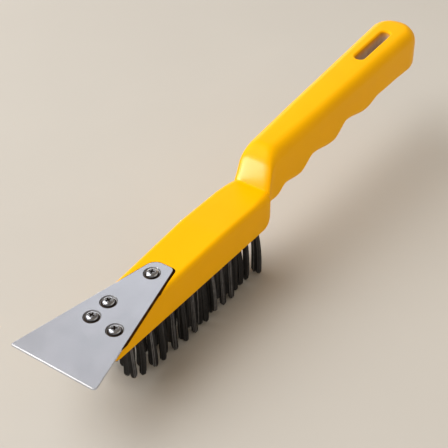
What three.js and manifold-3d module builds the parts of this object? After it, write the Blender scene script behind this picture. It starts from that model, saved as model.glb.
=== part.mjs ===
// Wire brush with a scraper blade screwed to its nose.
// Millimetres, +Z up. X runs along the brush from the scraper edge to the hanging end, Y across it.
// Inside the brush group x is measured from the nose of the head and z from the bristle tips. The group is
// then shifted along X, so that the origin is the middle of the footprint on the surface it stands on.
import * as THREE from "three";
import { mergeVertices } from "three/addons/utils/BufferGeometryUtils.js";
import Module from "manifold-3d";

// Head
const HEAD_LENGTH = 131;
const HEAD_WIDTH = 26.6;
const HEAD_THICKNESS = 20.3;
const HEAD_TOP_ROUND = 2.8;
const HEAD_FOOT_ROUND = 1.2;
const NOSE_ROUND = 6; // corners of the nose, seen from above
const REAR_ROUND = 6.5; // length of the rounded back corners of the head, seen from above
const REAR_STEP = 1; // how far these corners come in
const HEEL_ROUND = 7; // underside of the head turning up into its back
const HEEL_RISE = 11; // from the foot up to the underside of the neck
const HEEL_LEAN = 0.5; // how far the back leans over on the way
const HEAD_LEVEL = 44; // level stretch of the top, in front of the neck
const RAMP_ANGLE = THREE.MathUtils.degToRad(3.8); // fall of the top from there to the nose
const NOSE_TAPER = 2; // how far each side leans in at the top of the nose

// Neck and handle
const NECK_WIDTH = 20;
const NECK_FLARE = 8.5; // length over which the back of the head draws in to that width
const NECK_RISE = 20; // handle's top line above the head's top, where they meet
const NECK_ANGLE = THREE.MathUtils.degToRad(75); // steepness of the neck's front face
const NECK_ROUND = 10.5; // front face rolling over into the handle's top
const HANDLE_TILT = THREE.MathUtils.degToRad(3.8);
const HANDLE_END_WIDTH = 27;
const HANDLE_END_REACH = 17; // length of the round end, seen from above
const HANDLE_END_TOP_ROUND = 13; // top rolling over at the end
const HANDLE_END_FOOT_ROUND = 10; // and the underside
const END_FLAT = 3; // height of the upright stretch between these two
const GRIP_TOP_ROUND = 4.2;
const GRIP_FOOT_ROUND = 4.5;
const GRIP_END_ROUND = 13; // top edges at the very end
const GRIP_START = 10.5; // first ridge under the handle, from the back of the head
const GRIP_DEPTH_FRONT = 32.1; // top to ridge at the first ridge
const GRIP_DEPTH_REAR = 26.2; // and at the last one
const NECK_GROOVE_PITCH = 22.5; // finger grooves from the neck back: ridge to ridge, and how deep
const NECK_GROOVE_DEPTH = 3.1;
const INDEX_GROOVE_PITCH = 33.5;
const INDEX_GROOVE_DEPTH = 4.9;
const MIDDLE_GROOVE_PITCH = 35;
const MIDDLE_GROOVE_DEPTH = 5.5;
const LAST_GROOVE_PITCH = 35.5;
const LAST_GROOVE_DEPTH = 1.6;
const GROOVE_PLACE = 0.4; // deepest point of a groove, as a share of its pitch
const GRIP_END = 29; // last ridge to the end of the handle
const SLOT_LENGTH = 35;
const SLOT_WIDTH = 6.2;
const SLOT_SETBACK = 23.25; // from the slot's rear end to the end of the handle

// Scraper blade, measured along the ramp
const BLADE_LENGTH = 80.3;
const BLADE_OVERHANG = 25.4; // past the nose
const BLADE_FRONT_LEFT = 25.25; // corners, from the middle line of the head
const BLADE_FRONT_RIGHT = 25;
const BLADE_REAR_LEFT = 7.1;
const BLADE_REAR_RIGHT = 4.8;
const BLADE_FRONT_LEFT_ROUND = 2.5; // how far the roundings of these corners reach
const BLADE_FRONT_RIGHT_ROUND = 1;
const BLADE_REAR_LEFT_ROUND = 2;
const BLADE_REAR_RIGHT_ROUND = 4.5;
const BLADE_THICKNESS = 1.2;
const EDGE_GRIND = 0.5; // width of the ground bevel along the front edge
const EDGE_LIP = 0.75; // thickness left at that edge
const SEAT_DEPTH = 1.4; // recess in the ramp that the blade lies in
const SEAT_MARGIN = 0.9; // from the blade's sides and rear to the walls of that recess
const DISH_DEPTH = 0.9; // dishes pressed round the screw holes
const DISH_SLOPE = 0.95; // width of a dish's sloping rim

// Screws: places on the ramp, from the nose and from the middle line
const REAR_SCREW_SETBACK = 8.4; // from the rear end of the blade
const SCREWS = [
  { name: "rear", along: BLADE_LENGTH - BLADE_OVERHANG - REAR_SCREW_SETBACK, across: 0 },
  { name: "middle", along: 20, across: 5 },
  { name: "front_right", along: 8.2, across: 5.2 },
  { name: "front_left", along: 7.3, across: -9.2 },
];
const SCREW_SHANK_RADIUS = 1.5;
const SCREW_HEAD_RADIUS = 3;
const SCREW_HEAD_RIM = 0.6;
const SCREW_HEAD_HEIGHT = 1.9;
const SCREW_POINT = 1.6;
const RECESS_LENGTH = 4.2;
const RECESS_WIDTH = 1.15;
const RECESS_DEPTH = 1.3;
const SCREW_BITE = 4; // depth of a screw's hole below the blade's seat
const SCREW_WALL = 1.2; // left between a screw's hole and the tuft holes under it

// Bristles
const TRIM_LENGTH = 28; // free length of the wires
const TUFT_PITCH = 8.15;
const TUFT_FRONT_MARGIN = 15; // from the nose to the first tuft
const TUFT_REAR_MARGIN = 2.8; // from the last tuft to the heel
const ROW_MARGIN = 5.1; // from the outer rows to the sides of the head
const TUFT_RADIUS = 2;
const STRIP_LIP = 0.5; // the slice of backing that carries a row reaches this far past its tufts
const STRIP_THICKNESS = 1.2;
const STRAND_RADIUS = 0.55;
const STRANDS_AROUND = 7; // round the middle one of each tuft
const TIP_GAP = 0.6; // least gap between neighbouring tufts, at the tips
const ROW_SPLAY = 2; // the outer rows lean out by this much at the tips
const TUFT_LEAN = 0.8; // each tuft leans its own way by up to this much at the tips
const LEAN_TURN = 2.4; // turn of that lean from one tuft to the next, in radians
const TIP_CUT = 0.5; // trimmed off flat at the tips
const NOSE_WEAR = 6; // how much shorter the first tufts are worn
const WEAR_LENGTH = 35; // and how far back from them the wear reaches
const ANCHOR_THICKNESS = 0.6;
const ANCHOR_HEIGHT = 1.6;

const CLEARANCE = 0.3; // between neighbouring pieces
const CORNER_STEPS = 3; // facets of a rounded corner
const ARC_STEPS = 5; // facets of a rolled-over outline
const WAVE_STEPS = 4; // facets of half a finger groove
const ROUND_SIDES = 12; // sides of a screw and its holes
const TUFT_SIDES = 6;

const QUARTER = Math.PI / 2;
const FOOT_Z = TRIM_LENGTH; // underside of the head
const HEAD_TOP_Z = FOOT_Z + HEAD_THICKNESS;
const RAMP_LENGTH = HEAD_LENGTH - HEAD_LEVEL;
const FIRST_RIDGE_X = HEAD_LENGTH + GRIP_START;
const FINGERS = [
  { pitch: NECK_GROOVE_PITCH, groove: NECK_GROOVE_DEPTH },
  { pitch: INDEX_GROOVE_PITCH, groove: INDEX_GROOVE_DEPTH },
  { pitch: MIDDLE_GROOVE_PITCH, groove: MIDDLE_GROOVE_DEPTH },
  { pitch: LAST_GROOVE_PITCH, groove: LAST_GROOVE_DEPTH },
];
const LAST_RIDGE_X = FINGERS.reduce((x, finger) => x + finger.pitch, FIRST_RIDGE_X);
const HANDLE_END_X = LAST_RIDGE_X + GRIP_END;

const wasm = await Module();
wasm.setup();

function solid(geometry) {
  const bare = geometry.clone();
  bare.deleteAttribute("normal");
  bare.deleteAttribute("uv");
  const merged = mergeVertices(bare);
  return new wasm.Manifold(
    new wasm.Mesh({
      numProp: 3,
      vertProperties: new Float32Array(merged.attributes.position.array),
      triVerts: new Uint32Array(merged.index.array),
    }),
  );
}

function geometryOf(made) {
  const { vertProperties, triVerts } = made.getMesh();
  const geometry = new THREE.BufferGeometry();
  geometry.setAttribute("position", new THREE.BufferAttribute(vertProperties, 3));
  geometry.setIndex(new THREE.BufferAttribute(triVerts, 1));
  geometry.computeVertexNormals();
  return geometry;
}

const cutAll = (blank, cutters) => cutters.reduce((rest, cutter) => rest.subtract(cutter), blank);
const joinAll = (pieces) => pieces.reduce((whole, piece) => whole.add(piece));

// Value of an outline, a list of points with rising x, at one x.
function outlineAt(points, x) {
  const next = points.findIndex((p) => p.x > x);
  if (next === -1) return points[points.length - 1].y;
  if (next === 0) return points[0].y;
  const [a, b] = [points[next - 1], points[next]];
  return THREE.MathUtils.mapLinear(x, a.x, b.x, a.y, b.y);
}

// Arc points about a centre, without the first one.
function arc(centreX, centreY, radiusX, radiusY, from, to) {
  const curve = new THREE.EllipseCurve(centreX, centreY, radiusX, radiusY, from, to, to < from);
  return curve.getPoints(ARC_STEPS).slice(1);
}

const rampDrop = (x) => Math.max(0, RAMP_LENGTH - x) * Math.tan(RAMP_ANGLE);
const handleTopAt = (x) => HEAD_TOP_Z + NECK_RISE + (x - HEAD_LENGTH) * Math.tan(HANDLE_TILT);

// Line through the ridges of the finger grip.
function ridgeAt(x) {
  const depth = THREE.MathUtils.mapLinear(
    x, FIRST_RIDGE_X, LAST_RIDGE_X, GRIP_DEPTH_FRONT, GRIP_DEPTH_REAR);
  return handleTopAt(x) - depth;
}

// Roundings of the handle's end seen from the side, limited by its depth there.
const endFootZ = ridgeAt(LAST_RIDGE_X);
const endDepth = handleTopAt(HANDLE_END_X) - endFootZ;
const endShare = Math.min(1, endDepth / (HANDLE_END_TOP_ROUND + HANDLE_END_FOOT_ROUND + END_FLAT));
const endTopRound = HANDLE_END_TOP_ROUND * endShare;
const endFootRound = HANDLE_END_FOOT_ROUND * endShare;

// Top of the body seen from the side: ramp, head, steep neck face, handle and its rolled end.
function topOutline() {
  const run = NECK_RISE / (Math.tan(NECK_ANGLE) - Math.tan(HANDLE_TILT));
  const corner = new THREE.Vector2(HEAD_LENGTH + run, handleTopAt(HEAD_LENGTH + run));
  const turn = NECK_ANGLE - HANDLE_TILT;
  const faceLength = corner.distanceTo(new THREE.Vector2(HEAD_LENGTH, HEAD_TOP_Z));
  const tangent = Math.min(NECK_ROUND * Math.tan(turn / 2), faceLength);
  const radius = tangent / Math.tan(turn / 2);
  const face = new THREE.Vector2(Math.cos(NECK_ANGLE), Math.sin(NECK_ANGLE));
  const start = corner.clone().addScaledVector(face, -tangent);
  const centreX = start.x + radius * Math.sin(NECK_ANGLE);
  const centreY = start.y - radius * Math.cos(NECK_ANGLE);
  const endX = HANDLE_END_X - endTopRound;
  const endY = handleTopAt(endX);
  return [
    new THREE.Vector2(0, HEAD_TOP_Z - rampDrop(0)),
    new THREE.Vector2(RAMP_LENGTH, HEAD_TOP_Z),
    new THREE.Vector2(HEAD_LENGTH, HEAD_TOP_Z),
    start,
    ...arc(centreX, centreY, radius, radius, QUARTER + NECK_ANGLE, QUARTER + HANDLE_TILT),
    new THREE.Vector2(endX, endY),
    ...arc(endX, endY - endTopRound, endTopRound, endTopRound, QUARTER, 0),
  ];
}

// Underside seen from the side: flat foot, heel, finger ridges and grooves, rolled end.
function footOutline() {
  const turns = [new THREE.Vector2(HEAD_LENGTH + HEEL_LEAN, FOOT_Z + HEEL_RISE)];
  turns.push(new THREE.Vector2(FIRST_RIDGE_X, ridgeAt(FIRST_RIDGE_X)));
  let ridge = FIRST_RIDGE_X;
  for (const { pitch, groove } of FINGERS) {
    const deepest = ridge + pitch * GROOVE_PLACE;
    ridge += pitch;
    turns.push(new THREE.Vector2(deepest, ridgeAt(deepest) + groove));
    turns.push(new THREE.Vector2(ridge, ridgeAt(ridge)));
  }
  const points = [new THREE.Vector2(0, FOOT_Z), new THREE.Vector2(HEAD_LENGTH - HEEL_ROUND, FOOT_Z)];
  points.push(
    ...arc(HEAD_LENGTH - HEEL_ROUND, FOOT_Z + HEEL_ROUND, HEEL_ROUND, HEEL_ROUND, -QUARTER, 0),
    turns[0]);
  turns.slice(1).forEach((to, i) => {
    const from = turns[i];
    for (let step = 1; step <= WAVE_STEPS; step++) {
      const share = step / WAVE_STEPS;
      const ease = (1 - Math.cos(Math.PI * share)) / 2;
      points.push(
        new THREE.Vector2(
          THREE.MathUtils.lerp(from.x, to.x, share),
          THREE.MathUtils.lerp(from.y, to.y, ease),
        ),
      );
    }
  });
  const endX = HANDLE_END_X - endFootRound;
  points.push(new THREE.Vector2(endX, endFootZ));
  points.push(...arc(endX, endFootZ + endFootRound, endFootRound, endFootRound, -QUARTER, 0));
  return points;
}

// Half width seen from above: nose corners, head, neck, widening handle and its round end.
function sideOutline() {
  const head = HEAD_WIDTH / 2;
  const neck = NECK_WIDTH / 2;
  const end = HANDLE_END_WIDTH / 2;
  const endX = HANDLE_END_X - HANDLE_END_REACH;
  const lastAngle = 0.14; // leaves a narrow flat at the very end
  const waist = head - REAR_STEP; // where the rounded corner turns into the flare
  return [
    new THREE.Vector2(0, head - NOSE_ROUND),
    ...arc(NOSE_ROUND, head - NOSE_ROUND, NOSE_ROUND, NOSE_ROUND, Math.PI, QUARTER),
    new THREE.Vector2(HEAD_LENGTH - REAR_ROUND, head),
    ...arc(HEAD_LENGTH - REAR_ROUND, waist, REAR_ROUND, REAR_STEP, QUARTER, 0),
    ...arc(HEAD_LENGTH + NECK_FLARE, waist, NECK_FLARE, waist - neck, Math.PI, 3 * QUARTER),
    new THREE.Vector2(endX, end),
    ...arc(endX, 0, HANDLE_END_REACH, end, QUARTER, lastAngle),
    new THREE.Vector2(HANDLE_END_X, end * Math.sin(lastAngle)),
  ];
}

// Points of one cross-section: a four-cornered outline with rounded corners, anticlockwise from +Y.
function section(x, low, high, halfLow, halfHigh, roundLow, roundHigh) {
  const most = 0.98; // share of the room that two roundings may fill
  const room = Math.min(halfLow, halfHigh, (high - low) / 2) * most;
  const rLow = Math.min(roundLow, room);
  const rHigh = Math.min(roundHigh, room);
  const corners = [
    { y: halfLow - rLow, z: low + rLow, r: rLow, from: -QUARTER },
    { y: halfHigh - rHigh, z: high - rHigh, r: rHigh, from: 0 },
    { y: rHigh - halfHigh, z: high - rHigh, r: rHigh, from: QUARTER },
    { y: rLow - halfLow, z: low + rLow, r: rLow, from: 2 * QUARTER },
  ];
  return corners.flatMap(({ y, z, r, from }) =>
    Array.from({ length: CORNER_STEPS + 1 }, (_, i) => {
      const angle = from + (QUARTER * i) / CORNER_STEPS;
      return new THREE.Vector3(x, y + r * Math.cos(angle), z + r * Math.sin(angle));
    }),
  );
}

// Closed skin over cross-sections with equal point counts.
function loft(sections) {
  const around = sections[0].length;
  const last = (sections.length - 1) * around;
  const index = [];
  for (let s = 0; s < sections.length - 1; s++) {
    for (let j = 0; j < around; j++) {
      const a = s * around + j;
      const b = s * around + ((j + 1) % around);
      index.push(a, b, a + around, b, b + around, a + around);
    }
  }
  for (let j = 1; j < around - 1; j++) {
    index.push(0, j + 1, j);
    index.push(last, last + j, last + j + 1);
  }
  const geometry = new THREE.BufferGeometry().setFromPoints(sections.flat());
  geometry.setIndex(index);
  return geometry;
}

function bodyBlank() {
  const top = topOutline();
  const foot = footOutline();
  const side = sideOutline();
  const topRound = [
    new THREE.Vector2(HEAD_LENGTH, HEAD_TOP_ROUND),
    new THREE.Vector2(FIRST_RIDGE_X, GRIP_TOP_ROUND),
    new THREE.Vector2(HANDLE_END_X - HANDLE_END_REACH, GRIP_TOP_ROUND),
    new THREE.Vector2(HANDLE_END_X, GRIP_END_ROUND),
  ];
  const footRound = [
    new THREE.Vector2(HEAD_LENGTH, HEAD_FOOT_ROUND),
    new THREE.Vector2(FIRST_RIDGE_X, GRIP_FOOT_ROUND),
  ];
  const leastStep = 0.05;
  const stations = [...top, ...foot, ...side]
    .map((p) => p.x)
    .sort((a, b) => a - b)
    .filter((x, i, all) => i === 0 || x - all[i - 1] > leastStep);
  const sections = stations.map((x) => {
    const [low, high, half] = [foot, top, side].map((outline) => outlineAt(outline, x));
    const taper = (NOSE_TAPER * Math.max(0, RAMP_LENGTH - x)) / RAMP_LENGTH;
    return section(
      x, low, high, half, half - taper, outlineAt(footRound, x), outlineAt(topRound, x));
  });
  return solid(loft(sections));
}

// Slot shape with round ends, about its own middle.
function oblong(length, width) {
  const reach = (length - width) / 2;
  const shape = new THREE.Shape();
  shape.absarc(reach, 0, width / 2, -QUARTER, QUARTER);
  shape.absarc(-reach, 0, width / 2, QUARTER, 3 * QUARTER);
  return shape;
}

function prism(shape, depth) {
  return new THREE.ExtrudeGeometry(shape, { depth, bevelEnabled: false, curveSegments: ARC_STEPS });
}

// Upright cylinder from one height to another.
function post(radius, low, high, sides) {
  return new THREE.CylinderGeometry(radius, radius, high - low, sides)
    .rotateX(QUARTER)
    .translate(0, 0, (low + high) / 2);
}

// The blade seat's own frame: origin under the start of the ramp, x along the ramp, z square to it.
const seat = new THREE.Group();
seat.position.set(RAMP_LENGTH, 0, HEAD_TOP_Z - SEAT_DEPTH);
seat.rotation.y = -RAMP_ANGLE;
seat.updateMatrix();
const seatX = (along) => (along - RAMP_LENGTH) / Math.cos(RAMP_ANGLE);
const bladeFront = seatX(0) - BLADE_OVERHANG;
const bladeTop = CLEARANCE + BLADE_THICKNESS;
const screwSeat = bladeTop - DISH_DEPTH + CLEARANCE; // underside of the screw heads

// Tuft places: the middle row stands half a pitch inside the ends of the outer ones.
const tuftSpan = HEAD_LENGTH - HEEL_ROUND - TUFT_FRONT_MARGIN - TUFT_REAR_MARGIN;
const tuftCount = Math.floor(tuftSpan / TUFT_PITCH) + 1;
const firstTuft = TUFT_FRONT_MARGIN + (tuftSpan - (tuftCount - 1) * TUFT_PITCH) / 2;
const rowPitch = HEAD_WIDTH / 2 - ROW_MARGIN;
const outerRow = { start: firstTuft, count: tuftCount };
const ROWS = [
  { name: "left", y: -rowPitch, lean: -ROW_SPLAY, ...outerRow },
  { name: "middle", y: 0, lean: 0, start: firstTuft + TUFT_PITCH / 2, count: tuftCount - 1 },
  { name: "right", y: rowPitch, lean: ROW_SPLAY, ...outerRow },
];
const tuftsOf = (row) => Array.from({ length: row.count }, (_, i) => row.start + i * TUFT_PITCH);

// Tuft holes stop below the screws, under the shallowest of them. The anchors lie at their ends.
const shallowest = Math.min(...SCREWS.map((screw) => HEAD_TOP_Z - rampDrop(screw.along)));
const tuftHoleTop = shallowest - SEAT_DEPTH - SCREW_BITE - SCREW_WALL;
const anchorTop = tuftHoleTop - CLEARANCE;
const rootTop = anchorTop - ANCHOR_HEIGHT - CLEARANCE;
const anchorLength = 2 * TUFT_RADIUS * Math.cos(Math.PI / TUFT_SIDES);

// Strands: together at the root, fanned out at the tips until neighbouring tufts nearly meet.
const rootSpread = TUFT_RADIUS - STRAND_RADIUS;
const tipRoom = (Math.min(TUFT_PITCH, rowPitch) - TIP_GAP) / 2;
const tipSpread = tipRoom - TUFT_LEAN - STRAND_RADIUS;

function rowStrip(row, spare) {
  const width = 2 * (TUFT_RADIUS + STRIP_LIP + spare);
  const length = (row.count - 1) * TUFT_PITCH + width;
  return prism(oblong(length, width), STRIP_THICKNESS + spare)
    .translate(row.start + ((row.count - 1) * TUFT_PITCH) / 2, row.y, FOOT_Z);
}

function makeBody() {
  const slotX = HANDLE_END_X - SLOT_SETBACK - SLOT_LENGTH / 2;
  const slotTall = handleTopAt(HANDLE_END_X);
  const slot = prism(oblong(SLOT_LENGTH, SLOT_WIDTH), slotTall).translate(slotX, 0, FOOT_Z / 2);
  const recess = prism(bladeShape(SEAT_MARGIN), HEAD_THICKNESS).applyMatrix4(seat.matrix);
  const cutters = [solid(slot), solid(recess)];
  for (const screw of SCREWS) {
    const hole = post(SCREW_SHANK_RADIUS + CLEARANCE, -SCREW_BITE, SCREW_BITE, ROUND_SIDES);
    cutters.push(solid(hole.translate(seatX(screw.along), screw.across, 0).applyMatrix4(seat.matrix)));
  }
  for (const row of ROWS) {
    const below = new THREE.Matrix4().makeTranslation(0, 0, -CLEARANCE);
    const groove = solid(rowStrip(row, CLEARANCE)).add(solid(rowStrip(row, CLEARANCE).applyMatrix4(below)));
    cutters.push(groove);
    for (const x of tuftsOf(row)) {
      const hole = post(TUFT_RADIUS + CLEARANCE, FOOT_Z, tuftHoleTop, TUFT_SIDES);
      cutters.push(solid(hole.translate(x, row.y, 0)));
    }
  }
  return geometryOf(cutAll(bodyBlank(), cutters));
}

// Blade outline in the seat's frame: a trapezoid with rounded corners, grown by a margin all round.
function bladeShape(spare) {
  const front = bladeFront - spare;
  const rear = bladeFront + BLADE_LENGTH + spare;
  const corners = [
    { x: front, y: -BLADE_FRONT_LEFT - spare, round: BLADE_FRONT_LEFT_ROUND },
    { x: rear, y: -BLADE_REAR_LEFT - spare, round: BLADE_REAR_LEFT_ROUND },
    { x: rear, y: BLADE_REAR_RIGHT + spare, round: BLADE_REAR_RIGHT_ROUND },
    { x: front, y: BLADE_FRONT_RIGHT + spare, round: BLADE_FRONT_RIGHT_ROUND },
  ];
  const shape = new THREE.Shape();
  corners.forEach(({ x, y, round }, i) => {
    const corner = new THREE.Vector2(x, y);
    const before = corners[(i + 3) % 4];
    const after = corners[(i + 1) % 4];
    const towards = (other) =>
      new THREE.Vector2(other.x, other.y).sub(corner).setLength(round).add(corner);
    const enter = towards(before);
    const leave = towards(after);
    if (i === 0) shape.moveTo(enter.x, enter.y);
    else shape.lineTo(enter.x, enter.y);
    shape.quadraticCurveTo(x, y, leave.x, leave.y);
  });
  shape.closePath();
  return shape;
}

// Cutter for one screw's hole in the blade and the dish round it, about the screw's axis.
function bladeHole() {
  const hole = SCREW_SHANK_RADIUS + CLEARANCE;
  const floor = SCREW_HEAD_RADIUS + CLEARANCE;
  const floorZ = bladeTop - DISH_DEPTH;
  const profile = [
    new THREE.Vector2(0, -BLADE_THICKNESS),
    new THREE.Vector2(hole, -BLADE_THICKNESS),
    new THREE.Vector2(hole, floorZ),
    new THREE.Vector2(floor, floorZ),
    new THREE.Vector2(floor + 2 * DISH_SLOPE, floorZ + 2 * DISH_DEPTH),
    new THREE.Vector2(0, floorZ + 2 * DISH_DEPTH),
  ];
  return new THREE.LatheGeometry(profile, ROUND_SIDES).rotateX(QUARTER);
}

// Blade: holed and dished for the screws, and ground to an edge at the front.
function makeBlade() {
  const plate = prism(bladeShape(0), BLADE_THICKNESS).translate(0, 0, CLEARANCE);
  const holes = SCREWS.map((screw) => solid(bladeHole().translate(seatX(screw.along), screw.across, 0)));
  const fall = BLADE_THICKNESS - EDGE_LIP;
  const wedge = new THREE.Shape([
    new THREE.Vector2(-EDGE_GRIND, -2 * fall),
    new THREE.Vector2(EDGE_GRIND, 0),
    new THREE.Vector2(EDGE_GRIND, 2 * fall),
    new THREE.Vector2(-EDGE_GRIND, 2 * fall),
  ]);
  const grindWidth = 2 * (BLADE_FRONT_LEFT + BLADE_FRONT_RIGHT);
  const grinder = prism(wedge, grindWidth)
    .rotateX(QUARTER)
    .translate(bladeFront, grindWidth / 2, bladeTop);
  return geometryOf(cutAll(solid(plate), [solid(grinder), ...holes]));
}

// Screw about its own axis, with z = 0 under its head.
function makeScrew() {
  const tip = CLEARANCE - SCREW_BITE - screwSeat;
  const dome = new THREE.EllipseCurve(
    0, SCREW_HEAD_RIM, SCREW_HEAD_RADIUS, SCREW_HEAD_HEIGHT - SCREW_HEAD_RIM, 0, QUARTER);
  const domePoints = dome.getPoints(ARC_STEPS).slice(0, -1);
  const profile = [
    new THREE.Vector2(0, tip),
    new THREE.Vector2(SCREW_SHANK_RADIUS, tip + SCREW_POINT),
    new THREE.Vector2(SCREW_SHANK_RADIUS, 0),
    new THREE.Vector2(SCREW_HEAD_RADIUS, 0),
    ...domePoints,
    new THREE.Vector2(0, SCREW_HEAD_HEIGHT),
  ];
  const turned = solid(new THREE.LatheGeometry(profile, ROUND_SIDES).rotateX(QUARTER));
  const bar = new THREE.BoxGeometry(RECESS_LENGTH, RECESS_WIDTH, 2 * RECESS_DEPTH);
  bar.translate(0, 0, SCREW_HEAD_HEIGHT);
  const recess = solid(bar).add(solid(bar.clone().rotateZ(QUARTER)));
  return geometryOf(turned.subtract(recess));
}

// One wire of a tuft, from inside the strip to just below the tips.
function strand(root, tip) {
  const line = tip.clone().sub(root);
  const wire = new THREE.CylinderGeometry(STRAND_RADIUS, STRAND_RADIUS, line.length(), 3, 1);
  const upright = new THREE.Vector3(0, 1, 0);
  wire.applyQuaternion(new THREE.Quaternion().setFromUnitVectors(upright, line.clone().normalize()));
  return wire.translate(...root.clone().lerp(tip, 0.5));
}

// A row of tufts: roots and wires fused to the slice of backing that carries them, cut flat at the tips
// and worn shorter towards the nose.
function makeRow(row) {
  const pieces = [solid(rowStrip(row, 0))];
  const rootZ = FOOT_Z + STRIP_THICKNESS / 2;
  tuftsOf(row).forEach((x, i) => {
    pieces.push(solid(post(TUFT_RADIUS, rootZ, rootTop, TUFT_SIDES).translate(x, row.y, 0)));
    const leanX = TUFT_LEAN * Math.cos(LEAN_TURN * i + row.y);
    const leanY = TUFT_LEAN * Math.sin(LEAN_TURN * i + row.y) + row.lean;
    const wear = NOSE_WEAR * Math.max(0, 1 - (x - firstTuft) / WEAR_LENGTH) ** 2;
    for (let k = 0; k <= STRANDS_AROUND; k++) {
      const out = k === 0 ? 0 : 1;
      const angle = (2 * Math.PI * k) / STRANDS_AROUND + i;
      const dx = out * Math.cos(angle);
      const dy = out * Math.sin(angle);
      const root = new THREE.Vector3(x + rootSpread * dx, row.y + rootSpread * dy, rootZ);
      const tip = new THREE.Vector3(
        x + leanX + tipSpread * dx, row.y + leanY + tipSpread * dy, wear - TIP_CUT);
      pieces.push(solid(strand(root, tip)));
    }
  });
  const below = new THREE.BoxGeometry(4 * HEAD_LENGTH, 4 * HEAD_WIDTH, TRIM_LENGTH);
  below.translate(0, 0, -TRIM_LENGTH / 2);
  return geometryOf(joinAll(pieces).subtract(solid(below)));
}

const yellowPlastic = new THREE.MeshStandardMaterial({ color: 0xfcc203, roughness: 0.42, metalness: 0 });
const bladeSteel = new THREE.MeshStandardMaterial({ color: 0xb9bcc6, roughness: 0.36, metalness: 1 });
const screwSteel = new THREE.MeshStandardMaterial({ color: 0xd6d8da, roughness: 0.2, metalness: 1 });
const wireSteel = new THREE.MeshStandardMaterial({ color: 0x24242a, roughness: 0.45, metalness: 0.8 });
const anchorSteel = new THREE.MeshStandardMaterial({ color: 0x9a9da3, roughness: 0.5, metalness: 1 });

function piece(name, geometry, material) {
  const mesh = new THREE.Mesh(geometry, material);
  mesh.name = name;
  return mesh;
}

const brush = new THREE.Group();
brush.add(piece("handle_body", makeBody(), yellowPlastic));
brush.add(seat);
seat.add(piece("scraper_blade", makeBlade(), bladeSteel));
for (const screw of SCREWS) {
  const mesh = piece("scraper_screw_" + screw.name, makeScrew(), screwSteel);
  mesh.position.set(seatX(screw.along), screw.across, screwSeat);
  seat.add(mesh);
}
for (const row of ROWS) {
  brush.add(piece("bristle_row_" + row.name, makeRow(row), wireSteel));
  tuftsOf(row).forEach((x, i) => {
    const staple = new THREE.BoxGeometry(anchorLength, ANCHOR_THICKNESS, ANCHOR_HEIGHT);
    const mesh = piece(`tuft_anchor_${row.name}_${i + 1}`, staple, anchorSteel);
    mesh.position.set(x, row.y, anchorTop - ANCHOR_HEIGHT / 2);
    brush.add(mesh);
  });
}

// Middle of the footprint: the scraper's edge to the end of the handle.
const edge = new THREE.Vector3(bladeFront, 0, CLEARANCE + EDGE_LIP).applyMatrix4(seat.matrix);
brush.position.x = -(edge.x + HANDLE_END_X) / 2;

const part = new THREE.Group();
part.add(brush);

export default part;
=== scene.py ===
import math
import random

import bmesh
import bpy
from mathutils import Matrix, Vector


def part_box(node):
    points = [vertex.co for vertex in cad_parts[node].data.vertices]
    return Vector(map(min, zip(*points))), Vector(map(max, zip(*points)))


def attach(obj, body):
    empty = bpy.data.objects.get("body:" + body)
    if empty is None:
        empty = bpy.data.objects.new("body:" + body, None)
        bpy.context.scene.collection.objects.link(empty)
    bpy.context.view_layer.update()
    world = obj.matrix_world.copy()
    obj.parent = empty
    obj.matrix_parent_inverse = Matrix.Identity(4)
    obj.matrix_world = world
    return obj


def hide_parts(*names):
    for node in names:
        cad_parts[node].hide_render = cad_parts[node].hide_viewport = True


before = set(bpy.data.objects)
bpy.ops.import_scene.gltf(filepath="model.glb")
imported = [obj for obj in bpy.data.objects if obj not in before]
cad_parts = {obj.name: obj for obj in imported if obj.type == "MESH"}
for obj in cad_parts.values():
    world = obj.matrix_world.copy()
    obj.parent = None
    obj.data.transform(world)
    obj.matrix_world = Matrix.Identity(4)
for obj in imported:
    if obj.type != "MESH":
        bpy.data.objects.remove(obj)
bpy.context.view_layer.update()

# Looks of a wire brush with a scraper blade screwed to its nose.
# Metres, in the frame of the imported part. "Along" is the distance from the nose of the head towards the
# hanging end, "across" is +Y, and heights are above the surface that the wire tips stand on.
MM = 0.001

# Head
HEAD_LENGTH = 131 * MM
HEAD_WIDTH = 26.6 * MM
HEAD_THICKNESS = 20.3 * MM
HEAD_TOP_ROUND = 2.8 * MM
HEAD_FOOT_ROUND = 1.2 * MM
NOSE_ROUND = 6 * MM
NOSE_EDGE = 0.8 * MM  # rounding of the nose's front edges
REAR_ROUND = 6.5 * MM
REAR_STEP = 1 * MM  # how far the sides draw in over the rear rounding
HEEL_ROUND = 7 * MM
HEEL_RISE = 11 * MM  # from the foot up to the underside of the neck
HEEL_LEAN = 0.5 * MM  # of the heel's upright, so that the outline always runs on
HEAD_LEVEL = 44 * MM  # length of the level top behind the ramp
RAMP_ANGLE = math.radians(3.8)
RAMP_BLEND = 60 * MM  # radius where the ramp meets the level top
NOSE_TAPER = 2 * MM  # by which the top is narrower than the foot at the nose
ROUND_LIMIT = 0.98  # most that a corner rounding takes of the space for it
NOSE_SHARES = (0.1, 0.3, 0.6, 1)  # places of cross-sections along the nose's edge rounding

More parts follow.
